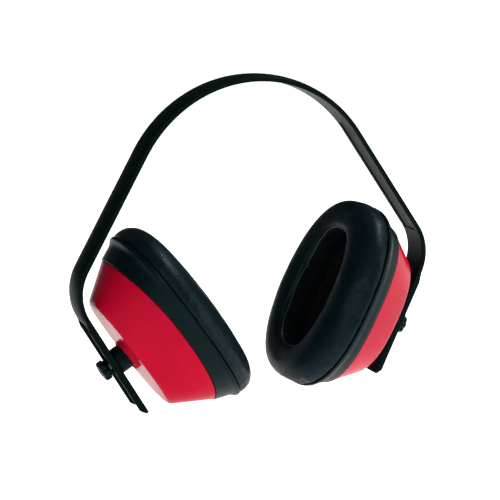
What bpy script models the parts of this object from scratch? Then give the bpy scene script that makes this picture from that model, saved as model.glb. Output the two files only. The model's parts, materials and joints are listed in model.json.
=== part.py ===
"""Earmuff hearing protector: a moulded headband with two height-adjustable,
swivelling ear cups and foam-filled ear cushions.

Run with: blender --background --python part.py
Units are metres, +Z is up, X runs from ear to ear and Y from face to nape.
"""
import math

import bmesh
import bpy
from mathutils import Matrix, Vector

MM = 0.001
NAME = "earmuff_hearing_protector"

# ---------------------------------------------------------------- headband
ARC_RADIUS = 68.6 * MM            # centre line of the top arc
ARC_HALF = math.radians(58.0)     # half the angle that the top arc spans
LEG_LENGTH = 63.6 * MM            # straight, outward-sloping leg
ELBOW_RADIUS = 25.0 * MM
LEAN = math.radians(28.0)         # inward lean of the slotted end legs
END_LENGTH = 59.0 * MM            # slotted end leg
BAND_WIDTH = 16.6 * MM
BAND_INNER = 1.1 * MM             # centre line to inner face
BAND_EDGE = 1.2 * MM              # centre line to the outer face at its edges
BAND_CROWN = 2.3 * MM             # centre line to the outer face at its middle
CHANNEL_DEPTH = 0.5 * MM          # shallow channel along the inner face
CHANNEL_HALF = 5.6 * MM
RIM_HEIGHT = 2.5 * MM             # centre line to the top of the slot's rims
RIM_WIDTH = 1.7 * MM
SLOT_FLOOR = 0.9 * MM             # centre line to the floor between the rims
SLOT_WIDTH = 6.4 * MM
SLOT_START = 8.5 * MM             # measured down the end leg from the elbow
SLOT_END = 54.5 * MM
RIM_START = 5.0 * MM
PIVOT_DOWN = 29.4 * MM            # where the cup hangs on the end leg at rest

# ---------------------------------------------------------------- slider and pivot
# In a cup's own frame the origin is on the leg's centre line, +Z points at the
# head, +X up the leg and Y from face to nape.
GAP = 0.3 * MM
KNOB_BASE = -2.8 * MM
KNOB_END = -7.7 * MM
KNOB_RADIUS = 5.6 * MM
KNOB_LOBES = 8
STUD_RADIUS = 1.7 * MM
STUD_END = 5.0 * MM
STUD_START = KNOB_END + 1.7 * MM
COLLAR_RADIUS = 6.75 * MM
COLLAR_START = BAND_INNER + GAP
COLLAR_END = 9.5 * MM
TONGUE_LENGTH = 7.0 * MM
TONGUE_WIDTH = 5.8 * MM
STEM_RADIUS = 2.1 * MM
STEM_START = 5.6 * MM
BALL_RADIUS = 4.5 * MM
BALL_DEPTH = 16.4 * MM            # the cup rocks about the ball's centre
LEFT_TILT = math.radians(3.8)     # how far each cup is rocked back at rest
RIGHT_TILT = math.radians(1.4)
CAP_RADIUS = 7.5 * MM

# ---------------------------------------------------------------- cup
FACE_HALF = (30.4 * MM, 21.6 * MM)   # half length and half width of the flat face
EDGE_HALF = (34.7 * MM, 24.4 * MM)   # where the face's rounded edge meets the wall
RIM_HALF = (44.4 * MM, 38.0 * MM)    # where the cup wall meets the rim ring
LIP_HALF = (50.8 * MM, 42.4 * MM)    # outer lip of the rim ring
HOLE_HALF = (32.6 * MM, 18.8 * MM)   # ear opening through the cushion
WINDOW_HALF = (39.8 * MM, 33.2 * MM) # opening through the rim ring
FACE_DEPTH = 9.4 * MM
EDGE_DEPTH = 11.8 * MM
RIM_DEPTH = 27.7 * MM
RIM_BOW = 3.6 * MM                   # the rim lies deeper on its flanks than at its ends
LIP_DEPTH = 39.9 * MM
CUSHION_FACE = 54.4 * MM
SKIN = 1.1 * MM                      # thickness of the cushion's vinyl
WALL = 2.2 * MM
BOSS_RADIUS = 9.0 * MM               # raised boss in the middle of the flat face
BOSS_TOP = 7.4 * MM
BOSS_BORE = 8.15 * MM                # its mouth, wide enough for the collar as the cup rocks
POCKET_RADIUS = 7.9 * MM             # floor of the hollow that the collar's end stands in
POCKET_FLOOR = 11.6 * MM
FLOOR_INSIDE = 13.4 * MM
BOWL_HALF = (34.0 * MM, 23.0 * MM)   # mouth of the foam liner's bowl
BOWL_FLOOR = 24.4 * MM
SOCKET_HOLE = 3.7 * MM
OVAL_POWER = 2.4                     # 2 is an ellipse, more is squarer
OVAL_STEPS = 48
ROUND_STEPS = 28


# ---------------------------------------------------------------- scene helpers
def clear_scene():
    for obj in list(bpy.data.objects):
        bpy.data.objects.remove(obj, do_unlink=True)


def new_collection(name):
    collection = bpy.data.collections.new(name)
    bpy.context.scene.collection.children.link(collection)
    return collection


def plastic(name, colour, roughness, metallic=0.0):
    material = bpy.data.materials.new(name)
    material.use_nodes = True
    shader = material.node_tree.nodes["Principled BSDF"]
    shader.inputs["Base Color"].default_value = (*colour, 1.0)
    shader.inputs["Roughness"].default_value = roughness
    shader.inputs["Metallic"].default_value = metallic
    return material


def add_mesh(name, bm, material, smooth_angle=35.0):
    bmesh.ops.recalc_face_normals(bm, faces=bm.faces)
    mesh = bpy.data.meshes.new(name)
    bm.to_mesh(mesh)
    bm.free()
    mesh.materials.append(material)
    mesh.shade_smooth()
    mesh.set_sharp_from_angle(angle=math.radians(smooth_angle))
    obj = bpy.data.objects.new(name, mesh)
    PARTS.objects.link(obj)
    return obj


def make_cutter(obj):
    PARTS.objects.unlink(obj)
    CUTTERS.objects.link(obj)
    obj.hide_render = True
    obj.display_type = "WIRE"
    return obj


def combine(target, tool, operation):
    modifier = target.modifiers.new(operation.lower(), "BOOLEAN")
    modifier.operation = operation
    modifier.solver = "EXACT"
    modifier.object = make_cutter(tool)


# ---------------------------------------------------------------- shape helpers
def grown(half, amount):
    return (half[0] + amount, half[1] + amount)


def between(low, high, share):
    return tuple(a + (b - a) * share for a, b in zip(low, high))


def oval(half, depth, bow=0.0):
    """A rounded oval in the cup's frame, at one depth along its axis.

    bow is how much deeper its long flanks lie than its two ends.
    """
    points = []
    for step in range(OVAL_STEPS):
        angle = 2.0 * math.pi * step / OVAL_STEPS
        cosine, sine = math.cos(angle), math.sin(angle)
        x = half[0] * math.copysign(abs(cosine) ** (2.0 / OVAL_POWER), cosine)
        y = half[1] * math.copysign(abs(sine) ** (2.0 / OVAL_POWER), sine)
        points.append(Vector((x, y, depth + bow * sine ** 2)))
    return points


def loft(rings, closed):
    """Skins rings of equal point count. A closed loft joins last to first."""
    bm = bmesh.new()
    rows = [[bm.verts.new(point) for point in ring] for ring in rings]
    pairs = list(zip(rows, rows[1:]))
    if closed:
        pairs.append((rows[-1], rows[0]))
    else:
        bm.faces.new(rows[0])
        bm.faces.new(rows[-1])
    for low, high in pairs:
        for index in range(len(low)):
            following = (index + 1) % len(low)
            bm.faces.new((low[index], low[following], high[following], high[index]))
    return bm


def turned(name, profile, material, closed):
    """Turns a profile of (radius, height) points, top to bottom, about Z."""
    mesh = bpy.data.meshes.new(name)
    edges = [(index, index + 1) for index in range(len(profile) - 1)]
    if closed:
        edges.append((len(profile) - 1, 0))
    mesh.from_pydata([(radius, 0.0, height) for radius, height in profile], edges, [])
    mesh.materials.append(material)
    obj = bpy.data.objects.new(name, mesh)
    PARTS.objects.link(obj)
    screw = obj.modifiers.new("turn", "SCREW")
    screw.steps = ROUND_STEPS
    screw.render_steps = ROUND_STEPS
    screw.use_merge_vertices = True
    screw.merge_threshold = 0.00001
    screw.use_smooth_shade = True
    return obj


def disc(name, radius, low, high, material, sides=ROUND_STEPS):
    bm = bmesh.new()
    middle = Matrix.Translation((0.0, 0.0, (low + high) / 2.0))
    bmesh.ops.create_cone(bm, cap_ends=True, segments=sides, radius1=radius,
                          radius2=radius, depth=high - low, matrix=middle)
    return add_mesh(name, bm, material)


def block(name, size, centre, material):
    bm = bmesh.new()
    bmesh.ops.create_cube(bm, size=1.0)
    bmesh.ops.scale(bm, vec=size, verts=bm.verts)
    bmesh.ops.translate(bm, vec=centre, verts=bm.verts)
    return add_mesh(name, bm, material)


# ---------------------------------------------------------------- places
def band_station(travel):
    """Point and outward normal on the right half of the band's centre line.

    travel is the distance along it from the top centre. The third value is the
    distance down the end leg, negative above it.
    """
    arc = ARC_RADIUS * ARC_HALF
    elbow_turn = math.pi / 2.0 + LEAN - ARC_HALF
    elbow = ELBOW_RADIUS * elbow_turn
    end_angle = math.pi / 2.0 + LEAN
    down_end = travel - arc - LEG_LENGTH - elbow
    if travel <= arc:
        angle = travel / ARC_RADIUS
        x = ARC_RADIUS * math.sin(angle)
        z = ARC_RADIUS * (math.cos(angle) - 1.0)
        return Vector((x, 0.0, z)), angle, down_end
    x = ARC_RADIUS * math.sin(ARC_HALF)
    z = ARC_RADIUS * (math.cos(ARC_HALF) - 1.0)
    straight = min(travel - arc, LEG_LENGTH)
    x += straight * math.cos(ARC_HALF)
    z -= straight * math.sin(ARC_HALF)
    angle = ARC_HALF
    if travel > arc + LEG_LENGTH:
        angle = min(ARC_HALF + (travel - arc - LEG_LENGTH) / ELBOW_RADIUS, end_angle)
        x += ELBOW_RADIUS * (math.sin(angle) - math.sin(ARC_HALF))
        z -= ELBOW_RADIUS * (math.cos(ARC_HALF) - math.cos(angle))
    if down_end > 0.0:
        x += down_end * math.cos(end_angle)
        z -= down_end * math.sin(end_angle)
    return Vector((x, 0.0, z)), angle, down_end


END_LEG_TRAVEL = (ARC_RADIUS * ARC_HALF + LEG_LENGTH
                  + ELBOW_RADIUS * (math.pi / 2.0 + LEAN - ARC_HALF))
PIVOT = band_station(END_LEG_TRAVEL + PIVOT_DOWN)[0]
# It stands on the tips of its end legs, so they set the height of the top.
LOWEST = band_station(END_LEG_TRAVEL + END_LENGTH)[0].z


def leg_frame(side):
    """World matrix of an end leg's frame; side is +1 for right and -1 for left."""
    head = Vector((-math.cos(LEAN), 0.0, math.sin(LEAN)))
    up = Vector((math.sin(LEAN), 0.0, math.cos(LEAN)))
    axes = Matrix((up, head.cross(up), head)).transposed().to_4x4()
    right = Matrix.Translation(PIVOT - Vector((0.0, 0.0, LOWEST))) @ axes
    return right if side > 0 else Matrix.Rotation(math.pi, 4, "Z") @ right


def ball_frame(side):
    """World matrix at the ball's centre, turned by the cup's tilt at rest."""
    ball = Matrix.Translation((0.0, 0.0, BALL_DEPTH))
    tilt = RIGHT_TILT if side > 0 else LEFT_TILT
    return leg_frame(side) @ ball @ Matrix.Rotation(tilt, 4, "Y")


# ---------------------------------------------------------------- headband
def band_section(centre, angle, down_end, side):
    """Closed outline of the band across its centre line."""
    rims = down_end > RIM_START
    channel = CHANNEL_DEPTH if down_end < -ELBOW_RADIUS else 0.0
    half = BAND_WIDTH / 2.0
    edge = RIM_HEIGHT if rims else BAND_EDGE
    rim_top = RIM_HEIGHT if rims else BAND_EDGE + 0.45 * (BAND_CROWN - BAND_EDGE)
    floor = SLOT_FLOOR if rims else BAND_EDGE + 0.55 * (BAND_CROWN - BAND_EDGE)
    crown = SLOT_FLOOR if rims else BAND_CROWN
    soft = 0.5 * MM
    outer = [(half - soft, edge), (half - RIM_WIDTH, rim_top),
             (half - RIM_WIDTH - 0.3 * MM, floor)]
    flank = [(half, -BAND_INNER + soft), (half, edge - soft)]
    inner = [(CHANNEL_HALF, -BAND_INNER + channel),
             (CHANNEL_HALF + 0.3 * MM, -BAND_INNER), (half - soft, -BAND_INNER)]
    front = inner + flank + outer
    back = [(-across, out) for across, out in reversed(front)]
    outline = front + [(0.0, crown)] + back
    normal = Vector((side * math.sin(angle), 0.0, math.cos(angle)))
    middle = Vector((side * centre.x, 0.0, centre.z - LOWEST))
    return [middle + normal * out + Vector((0.0, across, 0.0)) for across, out in outline]


def band_travels():
    """Distances along the centre line where the band's section is set."""
    arc = ARC_RADIUS * ARC_HALF
    elbow_start = arc + LEG_LENGTH
    travels = [arc * step / 13.0 for step in range(14)]
    travels += [arc + LEG_LENGTH * 0.5, elbow_start - 0.4 * MM, elbow_start]
    elbow = END_LEG_TRAVEL - elbow_start
    travels += [elbow_start + elbow * step / 10.0 for step in range(1, 11)]
    travels += [END_LEG_TRAVEL + RIM_START, END_LEG_TRAVEL + RIM_START + 0.5 * MM]
    travels += [END_LEG_TRAVEL + END_LENGTH]
    return travels


def headband(material):
    stations = [band_station(travel) for travel in band_travels()]
    right = [band_section(*station, 1.0) for station in stations]
    left = [band_section(*station, -1.0) for station in reversed(stations[1:])]
    band = add_mesh("headband", loft(left + right, closed=False), material, 25.0)
    for side in (1.0, -1.0):
        combine(band, slot_cutter(side, material), "DIFFERENCE")
        combine(band, end_cutter(side, material), "DIFFERENCE")
    return band


def slot_cutter(side, material):
    """A round-ended bar through the end leg, in the cup's frame."""
    radius = SLOT_WIDTH / 2.0
    top = PIVOT_DOWN - SLOT_START - radius
    bottom = PIVOT_DOWN - SLOT_END + radius
    outline = []
    for middle, start in ((top, -90.0), (bottom, 90.0)):
        for step in range(11):
            angle = math.radians(start + 18.0 * step)
            outline.append((middle + radius * math.cos(angle), radius * math.sin(angle)))
    rings = [[Vector((x, y, z)) for x, y in outline] for z in (-6.0 * MM, 6.0 * MM)]
    cutter = add_mesh("slot_cutter", loft(rings, closed=False), material)
    cutter.matrix_world = leg_frame(side)
    return cutter


def end_cutter(side, material):
    """Bevels the outer edge of the end leg's tip."""
    cutter = block("tip_cutter", (12.0 * MM, 30.0 * MM, 6.0 * MM), (0.0, 0.0, 0.0), material)
    tip = Matrix.Translation((PIVOT_DOWN - END_LENGTH, 0.0, -RIM_HEIGHT - 1.4 * MM))
    cutter.matrix_world = leg_frame(side) @ tip @ Matrix.Rotation(math.radians(35.0), 4, "Y")
    return cutter


# ---------------------------------------------------------------- slider and pivot
def fluted(radius, depth, flute):
    points = []
    for step in range(KNOB_LOBES * 6):
        angle = 2.0 * math.pi * step / (KNOB_LOBES * 6)
        reach = radius - flute * (0.5 - 0.5 * math.cos(KNOB_LOBES * angle)) ** 2
        points.append(Vector((reach * math.cos(angle), reach * math.sin(angle), depth)))
    return points


def adjuster_knob(prefix, material):
    flute = 0.9 * MM
    rings = [
        fluted(4.4 * MM, KNOB_BASE, 0.0),
        fluted(4.6 * MM, KNOB_BASE - 1.0 * MM, 0.0),
        fluted(KNOB_RADIUS - 0.5 * MM, KNOB_BASE - 1.3 * MM, flute),
        fluted(KNOB_RADIUS, KNOB_BASE - 2.0 * MM, flute),
        fluted(KNOB_RADIUS, KNOB_END + 1.6 * MM, flute),
        fluted(KNOB_RADIUS - 0.8 * MM, KNOB_END + 0.5 * MM, 0.7 * flute),
        fluted(KNOB_RADIUS - 2.0 * MM, KNOB_END, 0.0),
    ]
    knob = add_mesh(prefix + "adjuster_knob", loft(rings, closed=False), material)
    bore = disc(prefix + "knob_bore", STUD_RADIUS + GAP, STUD_START - GAP,
                KNOB_BASE + 1.0 * MM, material)
    combine(knob, bore, "DIFFERENCE")
    return [knob, bore]


def clamp_stud(prefix, material):
    top = STUD_END
    chamfer = 0.4 * MM
    profile = [(0.0, top), (STUD_RADIUS - chamfer, top), (STUD_RADIUS, top - chamfer),
               (STUD_RADIUS, STUD_START), (0.0, STUD_START)]
    return [turned(prefix + "clamp_stud", profile, material, closed=False)]


def slider_collar(prefix, material):
    edge = 0.5 * MM
    groove = COLLAR_END - 1.7 * MM
    stem_bore = STEM_RADIUS + GAP
    shoulder = STUD_END + GAP
    profile = [
        (stem_bore, COLLAR_END), (COLLAR_RADIUS - edge, COLLAR_END),
        (COLLAR_RADIUS, COLLAR_END - edge), (COLLAR_RADIUS, groove + edge),
        (COLLAR_RADIUS - edge, groove + 0.3 * MM), (COLLAR_RADIUS - edge, groove),
        (COLLAR_RADIUS, groove - 0.3 * MM), (COLLAR_RADIUS, COLLAR_START + edge),
        (COLLAR_RADIUS - edge, COLLAR_START), (STUD_RADIUS + GAP, COLLAR_START),
        (STUD_RADIUS + GAP, shoulder), (stem_bore, shoulder),
    ]
    collar = turned(prefix + "slider_collar", profile, material, closed=True)
    tongue_end = -SLOT_FLOOR + 0.1 * MM
    height = COLLAR_START + 0.4 * MM - tongue_end
    tongue = block(prefix + "tongue", (TONGUE_LENGTH, TONGUE_WIDTH, height),
                   (0.0, 0.0, tongue_end + height / 2.0), material)
    bore = disc(prefix + "tongue_bore", STUD_RADIUS + GAP, tongue_end - MM,
                COLLAR_START + 1.5 * MM, material)
    combine(collar, tongue, "UNION")
    combine(collar, bore, "DIFFERENCE")
    return [collar, tongue, bore]


def ball_stem(prefix, material):
    profile = [(0.0, BALL_DEPTH + BALL_RADIUS)]
    neck = math.asin(STEM_RADIUS / BALL_RADIUS)
    steps = 11
    for step in range(1, steps + 1):
        angle = (math.pi - neck) * step / steps
        profile.append((BALL_RADIUS * math.sin(angle),
                        BALL_DEPTH + BALL_RADIUS * math.cos(angle)))
    profile += [(STEM_RADIUS, STEM_START), (0.0, STEM_START)]
    return [turned(prefix + "ball_stem", profile, material, closed=False)]


def socket_cap(prefix, material):
    low = FLOOR_INSIDE + GAP
    ceiling = BALL_DEPTH + BALL_RADIUS + GAP
    top = ceiling + 1.2 * MM
    inside = BALL_RADIUS + GAP
    profile = [(0.0, top), (CAP_RADIUS - 0.8 * MM, top), (CAP_RADIUS, top - 0.8 * MM),
               (CAP_RADIUS, low), (inside, low), (inside, ceiling), (0.0, ceiling)]
    return [turned(prefix + "socket_cap", profile, material, closed=False)]


# ---------------------------------------------------------------- cup
def wall_half(depth):
    """Half sizes of the cup's outer wall at a depth."""
    share = (depth - EDGE_DEPTH) / (RIM_DEPTH - EDGE_DEPTH)
    return between(EDGE_HALF, RIM_HALF, share)


def cup_shell(prefix, material):
    seat = grown(RIM_HALF, -1.2 * MM)
    seat_end = RIM_DEPTH + 5.7 * MM
    seat_inside = grown(seat, -1.6 * MM)
    corner = EDGE_DEPTH + WALL
    rings = [
        oval(FACE_HALF, FACE_DEPTH),
        oval(between(FACE_HALF, EDGE_HALF, 0.38), FACE_DEPTH + 0.25 * MM),
        oval(between(FACE_HALF, EDGE_HALF, 0.7), FACE_DEPTH + 0.9 * MM),
        oval(EDGE_HALF, EDGE_DEPTH),
        oval(RIM_HALF, RIM_DEPTH, RIM_BOW),
        oval(seat, RIM_DEPTH + 0.1 * MM, RIM_BOW),
        oval(seat, seat_end),
        oval(seat_inside, seat_end),
        oval(seat_inside, RIM_DEPTH + 0.5 * MM, RIM_BOW),
        oval(grown(wall_half(corner), -WALL), corner),
        oval(grown(EDGE_HALF, -WALL - 1.1 * MM), FACE_DEPTH + 2.0 * MM),
    ]
    shell = add_mesh(prefix + "cup_shell", loft(rings, closed=False), material)
    pad = disc(prefix + "boss_pad", BOSS_RADIUS + 2.0 * MM, FACE_DEPTH + 0.5 * MM,
               FLOOR_INSIDE, material)
    boss = turned(prefix + "boss", [
        (0.0, FACE_DEPTH + 1.0 * MM), (BOSS_RADIUS, FACE_DEPTH + 1.0 * MM),
        (BOSS_RADIUS, FACE_DEPTH - 0.2 * MM), (BOSS_RADIUS - 0.3 * MM, FACE_DEPTH - 0.6 * MM),
        (BOSS_RADIUS - 0.3 * MM, BOSS_TOP + 0.3 * MM), (BOSS_RADIUS - 0.6 * MM, BOSS_TOP),
        (0.0, BOSS_TOP),
    ], material, closed=False)
    pocket = turned(prefix + "collar_pocket", [
        (0.0, POCKET_FLOOR), (POCKET_RADIUS, POCKET_FLOOR), (BOSS_BORE, BOSS_TOP),
        (BOSS_BORE, BOSS_TOP - 1.0 * MM), (0.0, BOSS_TOP - 1.0 * MM),
    ], material, closed=False)
    socket = disc(prefix + "socket_hole", SOCKET_HOLE, FACE_DEPTH, FLOOR_INSIDE + 2.0 * MM,
                  material)
    combine(shell, pad, "UNION")
    combine(shell, boss, "UNION")
    combine(shell, pocket, "DIFFERENCE")
    combine(shell, socket, "DIFFERENCE")
    return [shell, pad, boss, pocket, socket]


def foam_liner(prefix, material):
    """A soft bowl that lines the cup up to just under the cushion's plate."""
    low = FLOOR_INSIDE + 0.4 * MM
    inset = -(WALL + 1.2 * MM)
    throat = grown(WINDOW_HALF, -0.6 * MM)
    top = LIP_DEPTH - 1.4 * MM
    rings = [
        oval(grown(wall_half(low), inset - 1.0 * MM), low),
        oval(grown(wall_half(low + 2.0 * MM), inset), low + 2.0 * MM),
        oval(grown(wall_half(RIM_DEPTH - 2.0 * MM), inset), RIM_DEPTH - 2.0 * MM, RIM_BOW),
        oval(throat, RIM_DEPTH + 4.0 * MM),
        oval(throat, top - 0.8 * MM),
        oval(grown(throat, -1.2 * MM), top),
        oval(grown(BOWL_HALF, 1.2 * MM), top),
        oval(BOWL_HALF, top - 1.6 * MM),
        oval(grown(BOWL_HALF, -2.4 * MM), BOWL_FLOOR + 6.0 * MM),
        oval(grown(BOWL_HALF, -7.0 * MM), BOWL_FLOOR + 1.6 * MM),
        oval(grown(BOWL_HALF, -14.0 * MM), BOWL_FLOOR),
    ]
    liner = add_mesh(prefix + "foam_liner", loft(rings, closed=False), material)
    pocket = disc(prefix + "cap_pocket", CAP_RADIUS + 0.7 * MM, low - MM,
                  BALL_DEPTH + BALL_RADIUS + GAP + 1.6 * MM, material)
    combine(liner, pocket, "DIFFERENCE")
    return [liner, pocket]


def rim_ring(prefix, material):
    """A wall round the cup's mouth and a flanged lip, stepped hollow at its ends."""
    back = RIM_DEPTH + 0.4 * MM
    shelf = LIP_DEPTH - 1.3 * MM
    shelf_back = shelf - 2.0 * MM
    bore = grown(RIM_HALF, -0.9 * MM)
    # How far out from the wall to the lip, at the ends and on the flanks.
    outside = [
        (0.44, 0.38, LIP_DEPTH - 6.7 * MM), (0.47, 0.66, LIP_DEPTH - 4.8 * MM),
        (0.62, 0.80, LIP_DEPTH - 3.9 * MM), (0.93, 0.91, LIP_DEPTH - 3.3 * MM),
        (1.0, 1.0, LIP_DEPTH - 2.6 * MM), (1.0, 1.0, LIP_DEPTH - 0.4 * MM),
    ]
    rings = [
        oval(bore, back, RIM_BOW),
        oval(between(RIM_HALF, LIP_HALF, 0.08), back, RIM_BOW),
        oval(between(RIM_HALF, LIP_HALF, 0.13), back + 0.4 * MM, RIM_BOW),
    ]
    for end, flank, depth in outside:
        half = (between(RIM_HALF, LIP_HALF, end)[0], between(RIM_HALF, LIP_HALF, flank)[1])
        rings.append(oval(half, depth))
    rings += [
        oval(grown(LIP_HALF, -0.5 * MM), LIP_DEPTH + 0.2 * MM),
        oval(grown(LIP_HALF, -1.4 * MM), LIP_DEPTH + 0.2 * MM),
        oval(grown(LIP_HALF, -1.6 * MM), shelf),
        oval(WINDOW_HALF, shelf),
        oval(WINDOW_HALF, shelf_back),
        oval(bore, shelf_back),
    ]
    return [add_mesh(prefix + "rim_ring", loft(rings, closed=True), material)]


# ---------------------------------------------------------------- ear cushion
def cushion_plate(prefix, material):
    low = LIP_DEPTH - 1.0 * MM
    high = LIP_DEPTH + 0.2 * MM
    outer = grown(LIP_HALF, -1.9 * MM)
    inner = grown(HOLE_HALF, 0.7 * MM)
    rings = [oval(outer, low), oval(outer, high), oval(inner, high), oval(inner, low)]
    return [add_mesh(prefix + "cushion_plate", loft(rings, closed=True), material)]


def cushion_rings(inset):
    """The cushion's section from its outer back edge, over the face, into the hole."""
    back = LIP_DEPTH + 0.5 * MM
    deep = CUSHION_FACE - back
    outer = grown(LIP_HALF, -1.7 * MM)
    shoulder = (outer[0] - 2.0 * MM, outer[1] - 6.3 * MM)
    brow = (outer[0] - 5.6 * MM, outer[1] - 10.6 * MM)
    middle = between(LIP_HALF, HOLE_HALF, 0.64)
    return [
        oval(grown(outer, -inset), back),
        oval(grown(outer, 0.9 * MM - inset), back + 0.26 * deep),
        oval((outer[0] + 0.3 * MM - inset, outer[1] - 0.9 * MM - inset), back + 0.54 * deep),
        oval(grown(shoulder, -0.8 * inset), back + 0.81 * deep - 0.4 * inset),
        oval(grown(brow, -0.4 * inset), back + 0.96 * deep - 0.8 * inset),
        oval(middle, CUSHION_FACE - inset),
        oval(grown(HOLE_HALF, 3.0 * MM + 0.3 * inset), back + 0.95 * deep - 0.9 * inset),
        oval(grown(HOLE_HALF, 0.8 * MM + 0.8 * inset), back + 0.85 * deep - 0.4 * inset),
        oval(grown(HOLE_HALF, 0.1 * MM + inset), back + 0.6 * deep),
        oval(grown(HOLE_HALF, inset), back),
    ]


def cushion_skin(prefix, material):
    outside = cushion_rings(0.0)
    inside = list(reversed(cushion_rings(SKIN)))
    section = loft(outside + inside, closed=True)
    return [add_mesh(prefix + "cushion_skin", section, material, 60.0)]


def cushion_foam(prefix, material):
    section = loft(cushion_rings(SKIN + 0.4 * MM), closed=True)
    return [add_mesh(prefix + "cushion_foam", section, material, 60.0)]


# ---------------------------------------------------------------- assembly
def place(objects, parent):
    for obj in objects:
        obj.parent = parent


def empty(name, matrix):
    obj = bpy.data.objects.new(name, None)
    PARTS.objects.link(obj)
    obj.empty_display_size = 0.01
    obj.matrix_world = matrix
    return obj


def ear_side(prefix, side, finishes):
    """One ear's pieces: those on the slider, and those that rock with the cup."""
    black, steel, foam = finishes["black"], finishes["steel"], finishes["foam"]
    slider = empty(prefix + "slider_axis", leg_frame(side))
    place(slider_collar(prefix, black) + adjuster_knob(prefix, black)
          + clamp_stud(prefix, steel) + ball_stem(prefix, steel), slider)
    rocker = empty(prefix + "rocker_axis", ball_frame(side))
    cup = (cup_shell(prefix, finishes["red"]) + socket_cap(prefix, finishes["white"])
           + foam_liner(prefix, foam) + rim_ring(prefix, black)
           + cushion_plate(prefix, black) + cushion_skin(prefix, finishes["vinyl"])
           + cushion_foam(prefix, foam))
    place(cup, rocker)
    for obj in cup:
        obj.location.z -= BALL_DEPTH


def main():
    finishes = {
        "black": plastic("black_plastic", (0.012, 0.016, 0.018), 0.35),
        "red": plastic("red_plastic", (0.55, 0.008, 0.02), 0.22),
        "steel": plastic("steel", (0.6, 0.6, 0.62), 0.3, 1.0),
        "white": plastic("white_plastic", (0.75, 0.75, 0.72), 0.45),
        "foam": plastic("grey_foam", (0.03, 0.03, 0.032), 0.95),
        "vinyl": plastic("black_vinyl", (0.01, 0.013, 0.016), 0.4),
    }
    headband(finishes["black"])
    ear_side("left_", -1.0, finishes)
    ear_side("right_", 1.0, finishes)


clear_scene()
PARTS = new_collection(NAME)
CUTTERS = new_collection("cutters")
main()
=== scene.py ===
"""Looks of an over-head earmuff hearing protector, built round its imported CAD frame.

Lengths are in metres. Each ear's pieces are made in that ear's own frame: the
origin is on the centre line of the headband's end leg, +Z points at the head,
+X up the leg and Y from face to nape. Round pieces are lofts of rings, and a
ring is an oval or a circle at one depth along that +Z.
"""

import json
import math

import bmesh
import bpy
from mathutils import Matrix, Vector, noise
from mathutils.bvhtree import BVHTree


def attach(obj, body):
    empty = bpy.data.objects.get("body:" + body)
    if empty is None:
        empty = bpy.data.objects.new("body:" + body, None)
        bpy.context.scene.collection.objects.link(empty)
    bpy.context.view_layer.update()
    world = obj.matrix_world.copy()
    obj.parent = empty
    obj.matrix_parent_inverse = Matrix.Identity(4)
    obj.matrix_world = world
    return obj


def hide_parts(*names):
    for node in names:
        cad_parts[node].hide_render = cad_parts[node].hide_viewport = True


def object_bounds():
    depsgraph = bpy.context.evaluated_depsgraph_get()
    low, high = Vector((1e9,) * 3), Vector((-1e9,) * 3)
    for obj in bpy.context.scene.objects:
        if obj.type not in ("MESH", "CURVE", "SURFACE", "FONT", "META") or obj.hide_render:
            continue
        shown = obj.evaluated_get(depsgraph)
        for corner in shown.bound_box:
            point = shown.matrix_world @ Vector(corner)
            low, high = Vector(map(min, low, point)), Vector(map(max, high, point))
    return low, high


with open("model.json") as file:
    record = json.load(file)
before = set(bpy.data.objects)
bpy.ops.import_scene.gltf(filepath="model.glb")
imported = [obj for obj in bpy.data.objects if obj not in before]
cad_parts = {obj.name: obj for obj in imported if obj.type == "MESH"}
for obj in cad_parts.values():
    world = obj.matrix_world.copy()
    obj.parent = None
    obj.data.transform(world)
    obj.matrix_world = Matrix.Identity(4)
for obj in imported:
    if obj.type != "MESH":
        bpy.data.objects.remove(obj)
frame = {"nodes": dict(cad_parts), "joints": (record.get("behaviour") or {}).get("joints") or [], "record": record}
cad_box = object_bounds()

MM = 0.001
UP = Vector((0.0, 0.0, 1.0))
SIDES = {"left": -1.0, "right": 1.0}

# ---------------------------------------------------------------- headband sizes
ARC_RADIUS = 68.6 * MM            # centre line of the top arc
ARC_HALF = math.radians(58.0)     # from the top to where a straight leg starts
LEG_LENGTH = 63.6 * MM
ELBOW_RADIUS = 25.0 * MM
LEAN = math.radians(28.0)         # of the end leg, inwards from upright
END_LENGTH = 59.0 * MM
BAND_WIDTH = 16.6 * MM
BAND_INNER = 1.1 * MM             # centre line to inner face
BAND_EDGE = 1.2 * MM              # centre line to the outer face at its edges
BAND_CROWN = 2.3 * MM             # centre line to the outer face at its middle
CHANNEL_DEPTH = 0.5 * MM          # of the shallow channel in the inner face
CHANNEL_HALF = 5.6 * MM
CHANNEL_OVERLAP = 6.0 * MM        # of the channel onto the arc
CHANNEL_REACH = 2.0 * MM          # of the channel into the elbow
CORNER = 0.25 * MM                # slanted corners of the channel and the rims
RIM_HEIGHT = 2.5 * MM             # centre line to the top of the slot's raised rims
RIM_WIDTH = 1.7 * MM
RIM_TAPER = 4.0 * MM              # over which a rim grows to its full width
RIM_NARROW = 0.6                  # share of that width where a rim starts
SLOT_FLOOR = 0.9 * MM             # centre line to the floor between the rims
SLOT_WIDTH = 6.4 * MM
SLOT_START = 8.5 * MM             # down the end leg from the elbow
SLOT_END = 54.5 * MM
RIM_START = 5.0 * MM              # down the end leg from the elbow
TIP_THICKNESS = 0.24 * MM         # centre line to the bevelled tip's outer edge
TIP_BEVEL = math.radians(35.0)
TIP_INSET = 0.3 * MM              # of the tip's end face, all round
PIVOT_DOWN = 29.4 * MM            # the slider's place at rest, down the end leg
EDGE_BEVEL = 0.18 * MM
CRISP = 0.12 * MM                 # softening of the section's small corners
RIM_RISE = 0.35                   # share of the crown's rise at the inner edge of the rims' tops
CROWN_DROP = 0.5                  # share of that rise lost from the middle to the rims' foot
ARC_RINGS = 48
LEG_RINGS = 12
ELBOW_RINGS = 24
TIP_RINGS = 6
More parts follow.
